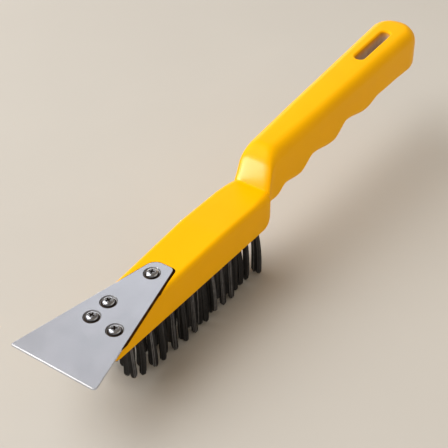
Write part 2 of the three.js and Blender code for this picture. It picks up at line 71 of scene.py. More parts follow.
# Neck and handle. The rounding of the top edges grows up the neck and fades along the grip.
NECK_WIDTH = 20 * MM
NECK_FLARE = 8.5 * MM
NECK_RISE = 20 * MM
NECK_ANGLE = math.radians(75)
NECK_CREASE = 0.8 * MM  # radius at the foot of the neck's face
NECK_ROUND = 10.5 * MM  # and at its brow
NECK_CORNER = 1.5 * MM  # inner corner behind the heel
NECK_BASE_ROUND = 5 * MM
NECK_BASE_FADE = 14 * MM
GRIP_FRONT_ROUND = 7 * MM
GRIP_FRONT_FADE = 40 * MM
HANDLE_TILT = math.radians(3.8)
HANDLE_END_WIDTH = 27 * MM
HANDLE_END_REACH = 17 * MM
HANDLE_END_TOP_ROUND = 13 * MM
HANDLE_END_FOOT_ROUND = 10 * MM
HANDLE_END_TIP = 6  # degrees at which the round end is cut off flat
GRIP_TOP_ROUND = 6.2 * MM
GRIP_FOOT_ROUND = 4.5 * MM
GRIP_END_ROUND = 13 * MM
GRIP_START = 10.5 * MM
GRIP_DEPTH_FRONT = 32.1 * MM
GRIP_DEPTH_REAR = 26.2 * MM
FINGER_PITCHES = (22.5 * MM, 33.5 * MM, 35 * MM, 35.5 * MM)
FINGER_DEPTHS = (3.1 * MM, 4.9 * MM, 5.5 * MM, 1.6 * MM)
GROOVE_PLACE = 0.4  # deepest point of a groove, as a share of its pitch

# Hanging slot
SLOT_LENGTH = 35 * MM
SLOT_WIDTH = 6.2 * MM
SLOT_SETBACK = 23.25 * MM
SLOT_LIP = 1.3 * MM  # radius of the rounded mouth
SLOT_LIP_TURN = 80  # degrees
SLOT_LIP_STEPS = 6
SLOT_OVERCUT = 2 * MM
SHADE_START = 1.2 * MM  # depth where the painted shade on the walls begins
SHADE_FULL = 5 * MM

# Scraper blade and its seat in the ramp
BLADE_LENGTH = 80.3 * MM
BLADE_OVERHANG = 25.4 * MM
BLADE_FRONT_LEFT = -25.25 * MM
BLADE_FRONT_RIGHT = 25 * MM
BLADE_REAR_LEFT = -7.1 * MM
BLADE_REAR_RIGHT = 4.8 * MM
BLADE_FRONT_LEFT_ROUND = 2.5 * MM
BLADE_FRONT_RIGHT_ROUND = 1 * MM
BLADE_REAR_LEFT_ROUND = 2 * MM
BLADE_REAR_RIGHT_ROUND = 4.5 * MM
BLADE_THICKNESS = 1.2 * MM
CLEARANCE = 0.3 * MM  # between pieces that fit together
BLADE_EDGE = 0.22 * MM  # rounding of its edges
BLADE_EDGE_ANGLE = math.radians(45)
EDGE_GRIND = 0.5 * MM  # width of the ground bevel along the front edge
EDGE_LIP = 0.75 * MM  # thickness left at that edge
SEAT_DEPTH = 1.4 * MM
SEAT_MARGIN = 0.2 * MM
SEAT_SEAM_FRONT = -1.65 * MM  # tapering seam on the left, at the blade's front corner
SEAT_SEAM_REAR = 1.55 * MM  # and at its rear corner
SKIRT = 0.9 * MM  # spread of the left edge's foot
SKIRT_FADE = 4 * MM
SKIRT_STOP = 0.9 * BLADE_REAR_LEFT_ROUND
DISH_DEPTH = 0.9 * MM
DISH_SLOPE = 0.7 * MM
DISH_RING = 0.85 * MM  # floor that shows round a screw head
DISH_STEPS = 7

# Screws: places on the ramp, from the nose and from the middle line, and the turn of the recess
SCREWS = {
    "rear": (46.5 * MM, 0 * MM, 20),
    "middle": (20 * MM, 5 * MM, 65),
    "front_right": (8.2 * MM, 5.2 * MM, 5),
    "front_left": (7.3 * MM, -9.2 * MM, 40),
}
SCREW_SHANK = 1.5 * MM
SCREW_HEAD = 3 * MM
SCREW_RIM = 0.6 * MM
SCREW_HEIGHT = 1.9 * MM
SCREW_CROWN = 1.6 * MM
SCREW_BITE = 4 * MM
SCREW_POINT = 1.6 * MM
SCREW_UNDERCUT = 0.97
RECESS_LENGTH = 4.2 * MM
RECESS_WIDTH = 1.15 * MM
RECESS_DEPTH = 1.3 * MM
RECESS_FLOOR = (0.45, 0.6)  # share of its length and width at the floor

# Wires: each tuft is two strands that spread from root to tip
HOLE_RADIUS = 2.3 * MM
ROW_SPLAY = {"left": -2 * MM, "middle": 0, "right": 2 * MM}
ROW_SEEDS = {"left": 11, "middle": 23, "right": 37}
STRANDS = 2
STRAND_WIRES = 30
STRAND_ROOT = 0.8 * MM
STRAND_TIP = 1.6 * MM
ROOT_SPREAD = 1.1 * MM
TIP_SPREAD = 1.7 * MM
WIRE_RADIUS = 0.28 * MM
WIRE_SIDES = 4
WIRE_BENDS = 5
WIRE_STRAY = 0.12 * MM
WIRE_UNEVEN = 0.25 * MM
TIP_DOME = 2 * MM
TIP_UNEVEN = 4.5 * MM
NOSE_WEAR = 6 * MM
WEAR_LENGTH = 35 * MM
TUFT_LEAN = 0.8 * MM
STRAND_BOW = 1.1 * MM
STRAND_SWING = 0.3  # radians
GLEAM_SIDE = math.radians(-130)  # side of the strands facing the camera, where lighter wires are a painted highlight
GLEAM_SWING = 0.7  # radians
GLEAM_REACH = 0.7
GLEAM_LEVELS = (0.15, 0.3, 0.8)
LEAST_GLEAM = 0.4
BLACK_SHADE = 0.12

# Fineness of the meshes
CORNER_STEPS = 6
FLAT_STEPS = 4
ARC_STEPS = 14
WAVE_STEPS = 14
ROUND_SIDES = 40
HOLE_SIDES = 20
OBLONG_SIDES = 48
STATION_STEP = 3 * MM
LEAST_STEP = 0.12 * MM
SHARP_ANGLE = math.radians(38)
MERGE_REACH = 0.001 * MM
FLAT_REACH = 0.01 * MM
HOLE_OVERCUT = 1 * MM
GOLDEN_ANGLE = math.pi * (3 - math.sqrt(5))

# Places of the second and later materials on the body, on the blade and on a screw
BODY_SLOT_SHADE, BODY_SEAM_SHADE = 1, 2
BLADE_GROUND, BLADE_DISH_SHADE, BLADE_EDGE_SHADE = 1, 2, 3
SCREW_RECESS_SHADE = 1

body_low, body_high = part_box("handle_body")
NOSE_X = body_low.x
FOOT = body_low.z
HANDLE_END = body_high.x - body_low.x
HEAD_TOP = FOOT + HEAD_THICKNESS
RAMP_LENGTH = HEAD_LENGTH - HEAD_LEVEL
FIRST_RIDGE = HEAD_LENGTH + GRIP_START
LAST_RIDGE = FIRST_RIDGE + sum(FINGER_PITCHES)


# Outlines of the body

def handle_top(along):
    """Straight top line of the handle."""
    return HEAD_TOP + NECK_RISE + (along - HEAD_LENGTH) * math.tan(HANDLE_TILT)


def ridge_line(along):
    """Line through the ridges of the finger grip."""
    share = (along - FIRST_RIDGE) / (LAST_RIDGE - FIRST_RIDGE)
    return handle_top(along) - GRIP_DEPTH_FRONT - share * (GRIP_DEPTH_REAR - GRIP_DEPTH_FRONT)


def rounded(corners):
    """Points of an outline through (x, y, radius) corners, each turned into an arc of its radius."""
    path = []
    for place, (x, y, radius) in enumerate(corners):
        corner = Vector((x, y))
        if radius == 0:
            path.append(corner)
            continue
        back = (Vector(corners[place - 1][:2]) - corner).normalized()
        ahead = (Vector(corners[place + 1][:2]) - corner).normalized()
        half = back.angle(ahead) / 2
        centre = corner + (back + ahead).normalized() * (radius / math.sin(half))
        enter = corner + back * (radius / math.tan(half)) - centre
        leave = corner + ahead * (radius / math.tan(half)) - centre
        for step in range(ARC_STEPS + 1):
            path.append(centre + enter.lerp(leave, step / ARC_STEPS).normalized() * radius)
    return path


def eased(low, high):
    """Points of a soft wave from a low turning point to the next one, without the first."""
    points = []
    for step in range(1, WAVE_STEPS + 1):
        share = step / WAVE_STEPS
        ease = (1 - math.cos(math.pi * share)) / 2
        points.append(Vector((low.x + (high.x - low.x) * share, low.y + (high.y - low.y) * ease)))
    return points


def quarter_round(centre, reach, rise, start, end):
    """Points of an ellipse about a centre, between two angles in degrees."""
    points = []
    for step in range(ARC_STEPS + 1):
        angle = math.radians(start + (end - start) * step / ARC_STEPS)
        points.append(Vector((centre[0] + reach * math.cos(angle), centre[1] + rise * math.sin(angle))))
    return points


def top_outline():
    """Top of the body seen from the side: ramp, head, steep neck face, handle and its rolled end."""
    nose_top = HEAD_TOP - RAMP_LENGTH * math.tan(RAMP_ANGLE)
    brow = HEAD_LENGTH + NECK_RISE / (math.tan(NECK_ANGLE) - math.tan(HANDLE_TILT))
    end_top = handle_top(HANDLE_END)
    return rounded([
        (0, nose_top, 0),
        (RAMP_LENGTH, HEAD_TOP, RAMP_BLEND),
        (HEAD_LENGTH, HEAD_TOP, NECK_CREASE),
        (brow, handle_top(brow), NECK_ROUND),
        (HANDLE_END, end_top, HANDLE_END_TOP_ROUND),
        (HANDLE_END, end_top - 2 * HANDLE_END_TOP_ROUND, 0),
    ])[:-1]


def foot_outline():
    """Underside seen from the side: flat foot, heel, finger ridges and grooves, rolled end."""
    notch = Vector((HEAD_LENGTH + HEEL_LEAN + NECK_CORNER, FOOT + HEEL_RISE))
    turns = [notch, Vector((FIRST_RIDGE, ridge_line(FIRST_RIDGE)))]
    ridge = FIRST_RIDGE
    for pitch, depth in zip(FINGER_PITCHES, FINGER_DEPTHS):
        deepest = ridge + pitch * GROOVE_PLACE
        ridge += pitch
        turns.append(Vector((deepest, ridge_line(deepest) + depth)))
        turns.append(Vector((ridge, ridge_line(ridge))))
    points = [Vector((0, FOOT))]
    heel = (HEAD_LENGTH - HEEL_ROUND, FOOT + HEEL_ROUND)
    points += quarter_round(heel, HEEL_ROUND, HEEL_ROUND, -90, 0)
    points += quarter_round((notch.x, notch.y - NECK_CORNER), NECK_CORNER, NECK_CORNER, 180, 90)
    for low, high in zip(turns, turns[1:]):
        points += eased(low, high)
    end = (HANDLE_END - HANDLE_END_FOOT_ROUND, ridge_line(LAST_RIDGE) + HANDLE_END_FOOT_ROUND)
    return points + quarter_round(end, HANDLE_END_FOOT_ROUND, HANDLE_END_FOOT_ROUND, -90, 0)


def side_outline():
    """Half width seen from above: nose corners, head, neck, widening handle and its round end."""
    head = HEAD_WIDTH / 2
    neck = NECK_WIDTH / 2
    end = HANDLE_END_WIDTH / 2
    waist = head - REAR_STEP
    points = quarter_round((NOSE_ROUND, head - NOSE_ROUND), NOSE_ROUND, NOSE_ROUND, 180, 90)
    points += quarter_round((HEAD_LENGTH - REAR_ROUND, waist), REAR_ROUND, REAR_STEP, 90, 0)
    points += quarter_round((HEAD_LENGTH + NECK_FLARE, waist), NECK_FLARE, waist - neck, 180, 270)
    points += quarter_round((HANDLE_END - HANDLE_END_REACH, 0), HANDLE_END_REACH, end, 90, HANDLE_END_TIP)
    points[-1].x = HANDLE_END
    return points


TOP = top_outline()
UNDERSIDE = foot_outline()
SIDE = side_outline()
TOP_ROUNDS = [
    Vector((HEAD_LENGTH - NECK_BASE_FADE, HEAD_TOP_ROUND)),
    Vector((HEAD_LENGTH, NECK_BASE_ROUND)),
    Vector((FIRST_RIDGE, GRIP_FRONT_ROUND)),
    Vector((FIRST_RIDGE + GRIP_FRONT_FADE, GRIP_TOP_ROUND)),
    Vector((HANDLE_END - HANDLE_END_REACH, GRIP_TOP_ROUND)),
    Vector((HANDLE_END, GRIP_END_ROUND)),
]
FOOT_ROUNDS = [Vector((HEAD_LENGTH, HEAD_FOOT_ROUND)), Vector((FIRST_RIDGE, GRIP_FOOT_ROUND))]


def at(outline, along):
    """Value of an outline, whose points have rising x, at one place along the brush."""
    if along <= outline[0].x:
        return outline[0].y
    for before, after in zip(outline, outline[1:]):
        if along <= after.x and after.x > before.x:
            return before.y + (after.y - before.y) * (along - before.x) / (after.x - before.x)
    return outline[-1].y


# Modelling helpers

def settle(name, bm, materials=()):
    """Turns a finished bmesh into an object that sits at the origin."""
    bmesh.ops.recalc_face_normals(bm, faces=bm.faces)
    mesh = bpy.data.meshes.new(name)
    bm.to_mesh(mesh)
    bm.free()
    for material in materials:
        mesh.materials.append(material)
    made = bpy.data.objects.new(name, mesh)
    bpy.context.scene.collection.objects.link(made)
    return made


def carve(blank, tools):
    """Cuts every tool out of the blank, then clears the tools away. Cut faces take the tools' materials."""
    for tool in tools:
        cut = blank.modifiers.new(tool.name, "BOOLEAN")
        cut.operation = "DIFFERENCE"
        cut.solver = "EXACT"
        cut.object = tool
    depsgraph = bpy.context.evaluated_depsgraph_get()
    carved = bpy.data.meshes.new_from_object(blank.evaluated_get(depsgraph))
    blank.modifiers.clear()
    blank.data = carved
    for tool in tools:
        bpy.data.objects.remove(tool)


def dress(piece, node):
    """Smooths a piece and lets it stand for its CAD node."""
    piece.data.shade_smooth()
    piece.data.set_sharp_from_angle(angle=SHARP_ANGLE)
    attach(piece, "root")
    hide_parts(node)


def even_shading(piece):
    """Keeps large flat faces flat where they meet small round ones."""
    even = piece.modifiers.new("even_shading", "WEIGHTED_NORMAL")
    even.keep_sharp = True


def extruded_ring(bm, sides, levels, place):
    """Skin over rings: place(spot, level) gives the point of each ring's vertex. The ends are closed."""
    spots = bm.verts.layers.int.new("spot")
    ring = bmesh.ops.create_circle(bm, segments=sides, radius=1)["verts"]
    for spot, vert in enumerate(ring):
        vert[spots] = spot
        vert.co = place(spot, levels[0])
    edges = list({edge for vert in ring for edge in vert.link_edges})
    bmesh.ops.holes_fill(bm, edges=edges, sides=0)
    for level in levels[1:]:
        grown = bmesh.ops.extrude_edge_only(bm, edges=edges)["geom"]
        fresh = {item for item in grown if isinstance(item, bmesh.types.BMVert)}
        edges = [
            item
            for item in grown
            if isinstance(item, bmesh.types.BMEdge) and all(vert in fresh for vert in item.verts)
        ]
        for vert in fresh:
            vert.co = place(vert[spots], level)
    bmesh.ops.holes_fill(bm, edges=edges, sides=0)
    bm.verts.layers.int.remove(spots)


def turned(profile, sides):
    """Bmesh of a profile of (radius, height) points turned about the upright axis."""
    bm = bmesh.new()
    verts = [bm.verts.new((radius, 0, height)) for radius, height in profile]
    edges = [bm.edges.new(pair) for pair in zip(verts, verts[1:])]
    bmesh.ops.spin(
        bm, geom=verts + edges, cent=(0, 0, 0), axis=(0, 0, 1), angle=2 * math.pi, steps=sides, use_merge=True
    )
    bmesh.ops.remove_doubles(bm, verts=bm.verts, dist=MERGE_REACH)
    return bm


# The blade seat's own frame: x along the ramp, z square to it, origin under the start of the ramp
SEAT_ORIGIN = Vector((NOSE_X + RAMP_LENGTH, 0, HEAD_TOP - SEAT_DEPTH))
SEAT = Matrix.Translation(SEAT_ORIGIN) @ Matrix.Rotation(-RAMP_ANGLE, 4, "Y")
BLADE_TOP = CLEARANCE + BLADE_THICKNESS
SCREW_SEAT = BLADE_TOP - DISH_DEPTH + CLEARANCE


def seat_x(along):
    """Place along the ramp in the seat's frame."""
    return (along - RAMP_LENGTH) / math.cos(RAMP_ANGLE)


BLADE_FRONT = seat_x(0) - BLADE_OVERHANG
BLADE_REAR = BLADE_FRONT + BLADE_LENGTH


def plate(low, high, spare=0, seam_front=0, seam_rear=0):
    """Bmesh of the blade's outline, as a slab between two heights over the seat.

    It can be grown by a spare margin on the right and at the rear, and by a tapering seam on the left.
    """
    corners = (
        (BLADE_FRONT, BLADE_FRONT_LEFT - seam_front, BLADE_FRONT_LEFT_ROUND),
        (BLADE_REAR + spare, BLADE_REAR_LEFT - seam_rear, BLADE_REAR_LEFT_ROUND),
        (BLADE_REAR + spare, BLADE_REAR_RIGHT + spare, BLADE_REAR_RIGHT_ROUND),
        (BLADE_FRONT, BLADE_FRONT_RIGHT + spare, BLADE_FRONT_RIGHT_ROUND),
    )
    bm = bmesh.new()
    verts = [bm.verts.new((x, y, low)) for x, y, _ in corners]
    bm.faces.new(verts)
    for vert, (_, _, size) in zip(verts, corners):
        bmesh.ops.bevel(
            bm, geom=[vert], offset=size, segments=CORNER_STEPS, profile=0.5, affect="VERTICES", material=-1
        )
    raised = bmesh.ops.extrude_face_region(bm, geom=bm.faces[:])["geom"]
    top = [item for item in raised if isinstance(item, bmesh.types.BMVert)]
    bmesh.ops.translate(bm, verts=top, vec=(0, 0, high - low))
    return bm


# Body

def body_section(along):
    """Points of one cross-section: a rounded four-cornered outline, as (across, height) pairs."""
    low = at(UNDERSIDE, along)
    high = at(TOP, along)
    half_low = at(SIDE, along)
    half_high = half_low - NOSE_TAPER * max(0, RAMP_LENGTH - along) / RAMP_LENGTH
    if along < NOSE_EDGE:
        inset = NOSE_EDGE - math.sqrt(NOSE_EDGE ** 2 - (NOSE_EDGE - along) ** 2)
        low += inset
        high -= inset
        half_low -= inset
        half_high -= inset
    room = ROUND_LIMIT * min(half_low, half_high, (high - low) / 2)
    round_low = min(at(FOOT_ROUNDS, along), room)
    round_high = min(at(TOP_ROUNDS, along), room)
    corners = (
        (half_low - round_low, low + round_low, round_low, -90),
        (half_high - round_high, high - round_high, round_high, 0),
        (round_high - half_high, high - round_high, round_high, 90),
        (round_low - half_low, low + round_low, round_low, 180),
    )
    points = []
    for across, height, radius, start in corners:
        for step in range(CORNER_STEPS + 1):
            angle = math.radians(start + 90 * step / CORNER_STEPS)
            points.append(Vector((across + radius * math.cos(angle), height + radius * math.sin(angle))))
    per_corner = CORNER_STEPS + 1
    ring = []
    for corner in range(4):
        ring += points[corner * per_corner:(corner + 1) * per_corner]
        after = points[((corner + 1) * per_corner) % len(points)]
        ring += [ring[-1].lerp(after, step / FLAT_STEPS) for step in range(1, FLAT_STEPS)]
    return ring


def body_stations():
    """Places along the brush where the body gets a cross-section."""
    places = [point.x for outline in (TOP, UNDERSIDE, SIDE) for point in outline]
    places += [NOSE_EDGE * share for share in NOSE_SHARES]
    places += [step * STATION_STEP for step in range(int(HANDLE_END / STATION_STEP))]
    kept = []
    for place in sorted(places):
        if not kept or place - kept[-1] > LEAST_STEP:
            kept.append(place)
    kept[-1] = HANDLE_END
    return kept


def body_blank(materials):
    """The moulding before its slot, seat and holes are cut."""
    stations = body_stations()
    sections = {along: body_section(along) for along in stations}

    def place(spot, along):
        across, height = sections[along][spot]
        return Vector((NOSE_X + along, across, height))

    bm = bmesh.new()
    extruded_ring(bm, 4 * (CORNER_STEPS + FLAT_STEPS), stations, place)
    return settle("brush_body", bm, materials)


def slot_tool(materials):
    """Hanging slot with rounded lips that follow the top and the underside of the handle."""
    middle = HANDLE_END - SLOT_SETBACK - SLOT_LENGTH / 2
    reach = (SLOT_LENGTH - SLOT_WIDTH) / 2
    flare = [math.radians(SLOT_LIP_TURN * step / SLOT_LIP_STEPS) for step in range(SLOT_LIP_STEPS + 1)]
    lip = [(SLOT_LIP * (1 - math.sin(angle)), SLOT_LIP * (1 - math.cos(angle))) for angle in flare]
    lip.append((-SLOT_OVERCUT, lip[-1][1]))
    levels = [("foot", *ring) for ring in reversed(lip)] + [("top", *ring) for ring in lip]

    def place(spot, level):
        face, depth, grow = level
        angle = 2 * math.pi * (spot + 0.5) / OBLONG_SIDES
        radius = SLOT_WIDTH / 2 + grow
        along = middle + math.copysign(reach, math.cos(angle)) + radius * math.cos(angle)
        height = at(TOP, along) - depth if face == "top" else at(UNDERSIDE, along) + depth
        return Vector((NOSE_X + along, radius * math.sin(angle), height))

    bm = bmesh.new()
    extruded_ring(bm, OBLONG_SIDES, levels, place)
    bmesh.ops.recalc_face_normals(bm, faces=bm.faces)
    for face in bm.faces:
        # The walls take the painted shade of the inside of the slot.
        face.material_index = BODY_SLOT_SHADE if abs(face.normal.z) < 0.2 else 0
    return settle("slot_tool", bm, materials)


def seat_tool(materials):
    """Recess in the ramp that the blade lies in, with an open seam along its left side."""
    bm = plate(0, HEAD_THICKNESS, SEAT_MARGIN, SEAT_SEAM_FRONT, SEAT_SEAM_REAR)
    bmesh.ops.transform(bm, matrix=SEAT, verts=bm.verts)
    # Every face of the seat takes the painted shade of the seam.
    for face in bm.faces:
        face.material_index = BODY_SEAM_SHADE
    return settle("seat_tool", bm, materials)


def hole_tool(name, radius, low, high, place, materials):
    """Round hole between two heights of a frame."""
    bm = bmesh.new()
    upright = place @ Matrix.Translation((0, 0, (low + high) / 2))
    bmesh.ops.create_cone(
        bm,
        cap_ends=True,
        segments=HOLE_SIDES,
        radius1=radius,
        radius2=radius,
        depth=high - low,
        matrix=upright,
    )
    return settle(name, bm, materials)


def tuft_anchors(row):
    """Boxes of one row's anchors, from the nose back."""
    prefix = f"tuft_anchor_{row}_"
    names = [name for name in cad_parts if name.startswith(prefix)]
    return [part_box(name) for name in sorted(names, key=lambda name: int(name[len(prefix):]))]


def make_body(*materials):
    """Moulding with its slot, the blade's seat and the holes for screws and tufts."""
    body = body_blank(materials)
    tools = [slot_tool(materials), seat_tool(materials)]
    for name, (along, across, _) in SCREWS.items():
        place = SEAT @ Matrix.Translation((seat_x(along), across, 0))
        radius = SCREW_SHANK + CLEARANCE
        tools.append(hole_tool("screw_hole_" + name, radius, -SCREW_BITE, SCREW_BITE, place, materials))
    for row in ROW_SPLAY:
        for low, high in tuft_anchors(row):
            place = Matrix.Translation(((low.x + high.x) / 2, (low.y + high.y) / 2, 0))
            reach = (FOOT - HOLE_OVERCUT, high.z + CLEARANCE)
            tools.append(hole_tool("tuft_hole", HOLE_RADIUS, *reach, place, materials))
    carve(body, tools)
    dress(body, "handle_body")
    even_shading(body)


# Blade and screws

def dish_tool(along, across, materials):
    """Screw hole and the pressed dish round it, as a tool in the seat's frame."""
    hole = SCREW_SHANK + CLEARANCE
    floor = SCREW_HEAD + DISH_RING
    floor_height = BLADE_TOP - DISH_DEPTH
    slope = []
    for step in range(DISH_STEPS):
        share = step / DISH_STEPS
        rise = DISH_DEPTH * (1 - math.cos(math.pi * share)) / 2
        slope.append((floor + DISH_SLOPE * share, floor_height + rise))
    over = BLADE_TOP + BLADE_THICKNESS
    under = -BLADE_THICKNESS
    profile = [(0, under), (hole, under), (hole, floor_height), *slope]
    profile += [(floor + DISH_SLOPE, over), (0, over)]
    bm = turned(profile, ROUND_SIDES)
    # The dish's floor round the head takes painted shade, and its slopes take the ground steel.
    for face in bm.faces:
        height = face.calc_center_median().z - floor_height
        if abs(height) < FLAT_REACH:
            face.material_index = BLADE_DISH_SHADE
        elif height > 0:
            face.material_index = BLADE_GROUND
    bmesh.ops.transform(bm, matrix=Matrix.Translation((seat_x(along), across, 0)), verts=bm.verts)
    return settle("dish_tool", bm, materials)


def make_blade(*materials):
    """Blade with a ground front edge and dished screw holes.

    Its left edge over the head is painted dark as shade, and spreads at the foot where it lies on the head.
    """
    bm = plate(CLEARANCE, BLADE_TOP)
    grind_line = BLADE_FRONT + EDGE_GRIND
    nose_line = seat_x(0)
    for line in (grind_line, nose_line, nose_line + SKIRT_FADE):
        everything = bm.verts[:] + bm.edges[:] + bm.faces[:]
        bmesh.ops.bisect_plane(bm, geom=everything, plane_co=(line, 0, 0), plane_no=(1, 0, 0))
    middle = (CLEARANCE + BLADE_TOP) / 2
    for vert in bm.verts:
        if vert.co.z > middle and vert.co.x < grind_line:
            vert.co.z -= (BLADE_THICKNESS - EDGE_LIP) * (grind_line - vert.co.x) / EDGE_GRIND
        if vert.co.z < middle and vert.co.y < 0 and vert.co.x < BLADE_REAR - SKIRT_STOP:
            vert.co.y -= SKIRT * min(1, max(0, (vert.co.x - nose_line) / SKIRT_FADE))
    bmesh.ops.recalc_face_normals(bm, faces=bm.faces)
    for face in bm.faces:
        spot = face.calc_center_median()
        if face.normal.z > 0.5 and spot.x < grind_line:
            face.material_index = BLADE_GROUND
        # The left edge over the head takes painted shade, standing for its shadow on the head.
        if face.normal.y < -0.5 and spot.x > nose_line:
            face.material_index = BLADE_EDGE_SHADE
    rim = [edge for edge in bm.edges if edge.calc_face_angle(0) > BLADE_EDGE_ANGLE]
    bmesh.ops.bevel(
        bm, geom=rim, offset=BLADE_EDGE, segments=2, profile=0.5, affect="EDGES", material=-1
    )
    blade = settle("scraper_plate", bm, materials)
    carve(blade, [dish_tool(along, across, materials) for along, across, _ in SCREWS.values()])
    blade.data.transform(SEAT)
    dress(blade, "scraper_blade")
    even_shading(blade)


def recess_tool(turn, materials):
    """One bar of the cross recess, narrower at its floor."""
    bm = bmesh.new()
    size = Matrix.Diagonal((RECESS_LENGTH, RECESS_WIDTH, 2 * RECESS_DEPTH, 1))
    bar = bmesh.ops.create_cube(bm, size=1, matrix=size)["verts"]
    for vert in bar:
        if vert.co.z < 0:
            vert.co.x *= RECESS_FLOOR[0]
            vert.co.y *= RECESS_FLOOR[1]
    place = Matrix.Rotation(turn, 4, "Z")
    place.translation.z = SCREW_HEIGHT
    bmesh.ops.transform(bm, matrix=place, verts=bar)
    # The recess walls take painted shade.
    for face in bm.faces:
        face.material_index = SCREW_RECESS_SHADE
    return settle("recess_tool", bm, materials)


def make_screw(name, *materials):
    """Pan-head screw with a plain shank, a point and a cross recess."""
    along, across, turn = SCREWS[name]
    tip = CLEARANCE - SCREW_BITE - SCREW_SEAT
    crown_start = (SCREW_HEAD - SCREW_CROWN, SCREW_RIM)
    crown = quarter_round(crown_start, SCREW_CROWN, SCREW_HEIGHT - SCREW_RIM, 0, 90)
    profile = [(0, tip), (SCREW_SHANK, tip + SCREW_POINT), (SCREW_SHANK, 0), (SCREW_HEAD * SCREW_UNDERCUT, 0)]
    profile += [(point.x, point.y) for point in crown] + [(0, SCREW_HEIGHT)]
    screw = settle("blade_screw_" + name, turned(profile, ROUND_SIDES), materials)
    carve(screw, [recess_tool(0, materials), recess_tool(math.pi / 2, materials)])
    place = Matrix.Translation((seat_x(along), across, SCREW_SEAT))
    screw.data.transform(SEAT @ place @ Matrix.Rotation(math.radians(turn), 4, "Z"))
    dress(screw, "scraper_screw_" + name)
    even_shading(screw)


# Wire rows

def wire_blank():
    """Mesh of one straight wire, from height 0 at its root to height 1 at its tip."""
    bm = bmesh.new()
    upright = Matrix.Translation((0, 0, 0.5))
    bmesh.ops.create_cone(
        bm,
        cap_ends=True,
        segments=WIRE_SIDES,
        radius1=WIRE_RADIUS,
        radius2=WIRE_RADIUS,
        depth=1,
        matrix=upright,
    )
    sides = [edge for edge in bm.edges if abs(edge.verts[0].co.z - edge.verts[1].co.z) > 0.5]
    bmesh.ops.subdivide_edges(bm, edges=sides, cuts=WIRE_BENDS - 1, use_grid_fill=True)
    bmesh.ops.recalc_face_normals(bm, faces=bm.faces)
    mesh = bpy.data.meshes.new("wire_blank")
    bm.to_mesh(mesh)
    bm.free()
    return mesh


FIRST_TUFT = sum(corner.x for corner in tuft_anchors("left")[0]) / 2


def strand_wires(draw, root, tip, short):
    """Roots, tips, bows and shades of the wires of one strand."""
    bow_turn = draw.uniform(0, 2 * math.pi)
    bow = Vector((math.cos(bow_turn), math.sin(bow_turn))) * draw.uniform(0.2, 1) * STRAND_BOW
    gleam_turn = draw.gauss(GLEAM_SIDE, GLEAM_SWING)
    gleam_side = Vector((math.cos(gleam_turn), math.sin(gleam_turn)))
    gleam = draw.choice(GLEAM_LEVELS)
    wires = []
    for number in range(STRAND_WIRES):
        reach = math.sqrt((number + 0.5) / STRAND_WIRES)
        turn = number * GOLDEN_ANGLE
        out = Vector((math.cos(turn), math.sin(turn))) * reach
        stray = Vector((draw.uniform(-1, 1), draw.uniform(-1, 1))) * WIRE_STRAY
        height = short + TIP_DOME * reach ** 2 + draw.uniform(0, WIRE_UNEVEN)
        shade = draw.uniform(0, BLACK_SHADE)
        # Wires on the side facing the camera are painted lighter, as a highlight along the strand.
        if out.dot(gleam_side) > GLEAM_REACH:
            shade = gleam * draw.uniform(LEAST_GLEAM, 1)
        wires.append((root + out * ROOT_SPREAD, tip + out * TIP_SPREAD + stray, bow, height, shade))
    return wires


def row_wires(row):
    """All the wires of one row. The tufts at the nose are worn short."""
    draw = random.Random(ROW_SEEDS[row])
    wires = []
    for low, high in tuft_anchors(row):
        centre = Vector(((low.x + high.x) / 2, (low.y + high.y) / 2))
        worn = NOSE_WEAR * max(0, 1 - (centre.x - FIRST_TUFT) / WEAR_LENGTH) ** 2
        lean = Vector((draw.uniform(-1, 1), draw.uniform(-1, 1))) * TUFT_LEAN
        lean.y += ROW_SPLAY[row]
        turn = draw.uniform(0, 2 * math.pi)
        for strand in range(STRANDS):
            angle = turn + 2 * math.pi * strand / STRANDS + draw.uniform(-STRAND_SWING, STRAND_SWING)
            out = Vector((math.cos(angle), math.sin(angle)))
            short = worn + (draw.uniform(0, TIP_UNEVEN) if strand else 0)
            wires += strand_wires(draw, centre + out * STRAND_ROOT, centre + lean + out * STRAND_TIP, short)
    return wires


def make_row(row, wire_steel):
    """One row of tufts as a single piece, each wire bent to its own root, tip and bow."""
    wires = row_wires(row)
    blank = wire_blank()
    root_height = min(low.z for low, _ in tuft_anchors(row)) - CLEARANCE
    bm = bmesh.new()
    for _ in wires:
        bm.from_mesh(blank)
    shades = bm.verts.layers.float.new("shade")
    for number, vert in enumerate(bm.verts):
        root, tip, bow, height, shade = wires[number // len(blank.vertices)]
        share = vert.co.z
        fanned = 1 - (1 - share) ** 2
        spot = root.lerp(tip, fanned) + bow * math.sin(math.pi * share) * share
        vert.co = (spot.x + vert.co.x, spot.y + vert.co.y, root_height + (height - root_height) * share)
        vert[shades] = shade
    bpy.data.meshes.remove(blank)
    wire_row = settle("wire_row_" + row, bm, [wire_steel])
    dress(wire_row, "bristle_row_" + row)


def dress_anchors(steel):
    """Gives the staples, which keep the shape of their solids, their material."""
    for name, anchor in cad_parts.items():
        if name.startswith("tuft_anchor_"):
            anchor.data.materials.clear()
            anchor.data.materials.append(steel)


# Materials

def node(tree, kind, inputs=None, **settings):
    """Adds a shader node, with its settings and the values of its inputs."""
    made = tree.nodes.new(kind)
    for name, value in settings.items():
        setattr(made, name, value)
    for name, value in (inputs or {}).items():
        made.inputs[name].default_value = value
    return made


def shader_group(name, inputs, outputs):
    """Empty shader node group with named value sockets, and its two end nodes."""
    tree = bpy.data.node_groups.new(name, "ShaderNodeTree")
    tree.interface.new_socket(name="Vector", in_out="INPUT", socket_type="NodeSocketVector")
    for socket in inputs:
        tree.interface.new_socket(name=socket, in_out="INPUT", socket_type="NodeSocketFloat")
    for socket in outputs:
        tree.interface.new_socket(name=socket, in_out="OUTPUT", socket_type="NodeSocketFloat")
    return tree, node(tree, "NodeGroupInput"), node(tree, "NodeGroupOutput")


